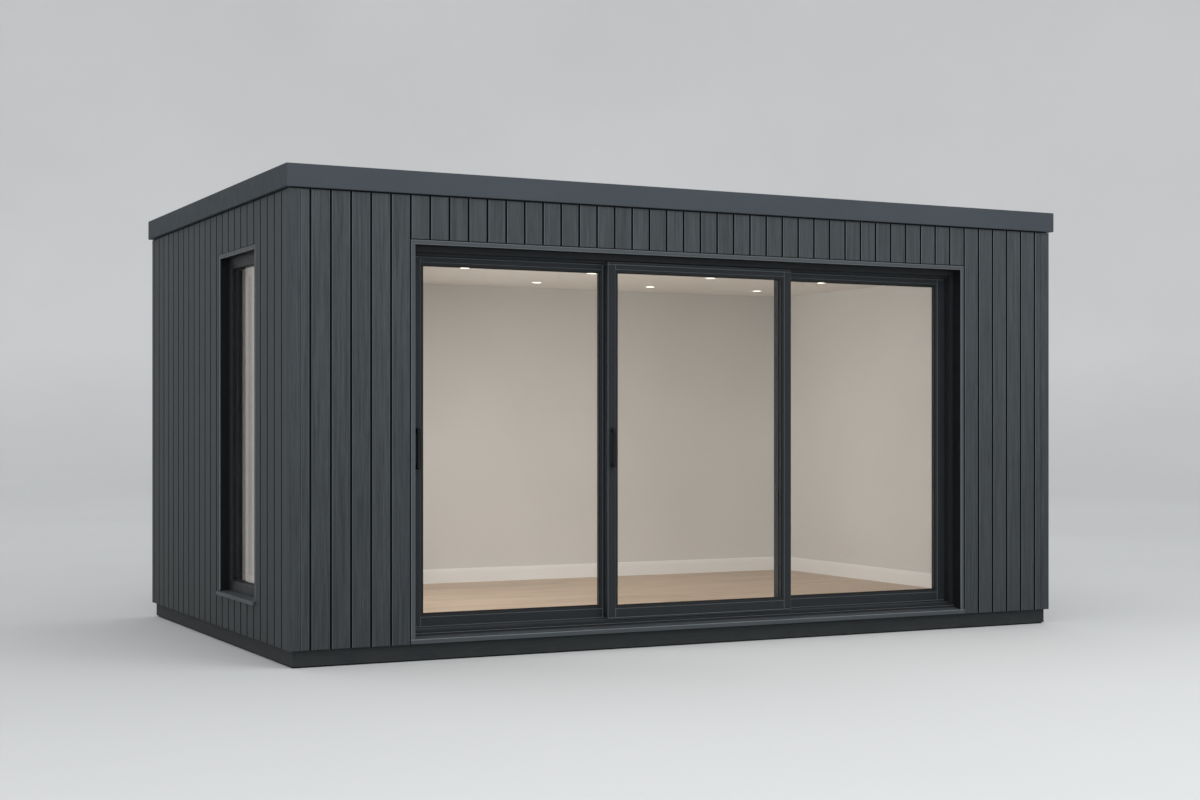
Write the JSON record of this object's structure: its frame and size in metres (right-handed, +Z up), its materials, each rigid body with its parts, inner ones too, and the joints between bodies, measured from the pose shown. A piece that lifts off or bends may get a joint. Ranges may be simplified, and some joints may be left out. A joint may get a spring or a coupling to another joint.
{
  "type": "garden office pod",
  "caption": "Flat-roofed insulated garden office with charcoal vertical cladding, a wide sliding glass door, a tall side window and a lit, plainly finished room inside.",
  "frame": {"origin": "on the ground, under the middle of the roof outline", "axes": "+X along the front towards its right end as seen from outside, +Y from the front to the back, +Z up"},
  "size_m": [4.82, 2.94, 2.5],
  "materials": {
    "cladding": "charcoal composite boards with a brushed wood grain, matt",
    "trim": "charcoal powder coat, satin",
    "fascia": "anthracite powder coat, satin",
    "plinth_board": "near-black stained board, matt",
    "insulated_panel": "oriented strand board faces, raw",
    "oak_floor": "light oak laminate boards, satin",
    "wall_paint": "warm grey emulsion on plasterboard, matt",
    "white_paint": "off-white eggshell paint",
    "ceiling_paint": "white emulsion on plasterboard, matt",
    "light": "frosted lens in a white rim, lit",
    "membrane": "dark grey rubber sheet, matt",
    "door_frame": "black powder-coated aluminium, satin",
    "handle": "black powder coat, satin",
    "glass": "clear double glazing"
  },
  "bodies": {
    "building": {"plinth": "plinth_board", "floor_panel": "insulated_panel", "floor_boards": "oak_floor", "wall_front_left": "insulated_panel", "wall_front_right": "insulated_panel", "wall_front_header": "insulated_panel", "wall_back": "insulated_panel", "wall_left": "insulated_panel", "wall_right": "insulated_panel", "cladding_front_left": "cladding", "cladding_front_right": "cladding", "cladding_front_header": "cladding", "cladding_back": "cladding", "cladding_left": "cladding", "cladding_right": "cladding", "corner_trims": "cladding", "lining_front": "wall_paint", "lining_back": "wall_paint", "lining_left": "wall_paint", "lining_right": "wall_paint", "skirting": "white_paint", "ceiling": "ceiling_paint", "downlights": "light", "roof_panel": "insulated_panel", "roof_membrane": "membrane", "fascia_front": "fascia", "fascia_back": "fascia", "fascia_left": "fascia", "fascia_right": "fascia", "door_surround": "trim", "door_frame": "door_frame", "door_threshold": "door_frame", "door_cill": "trim", "right_panel_frame": "door_frame", "right_panel_glass": "glass", "window_surround": "trim", "window_frame": "door_frame", "window_glass": "glass", "window_liner": "white_paint"},
    "left_panel": {"left_panel_frame": "door_frame", "left_panel_glass": "glass", "left_panel_handle": "handle"},
    "middle_panel": {"middle_panel_frame": "door_frame", "middle_panel_glass": "glass", "middle_panel_handle": "handle"}
  },
  "joints": [
    {"name": "left_panel_slide", "type": "slide", "parent": "building", "child": "left_panel", "axis": [1, 0, 0], "range_m": [0, 1.04]},
    {"name": "middle_panel_slide", "type": "slide", "parent": "building", "child": "middle_panel", "axis": [1, 0, 0], "range_m": [0, 1.108]}
  ]
}
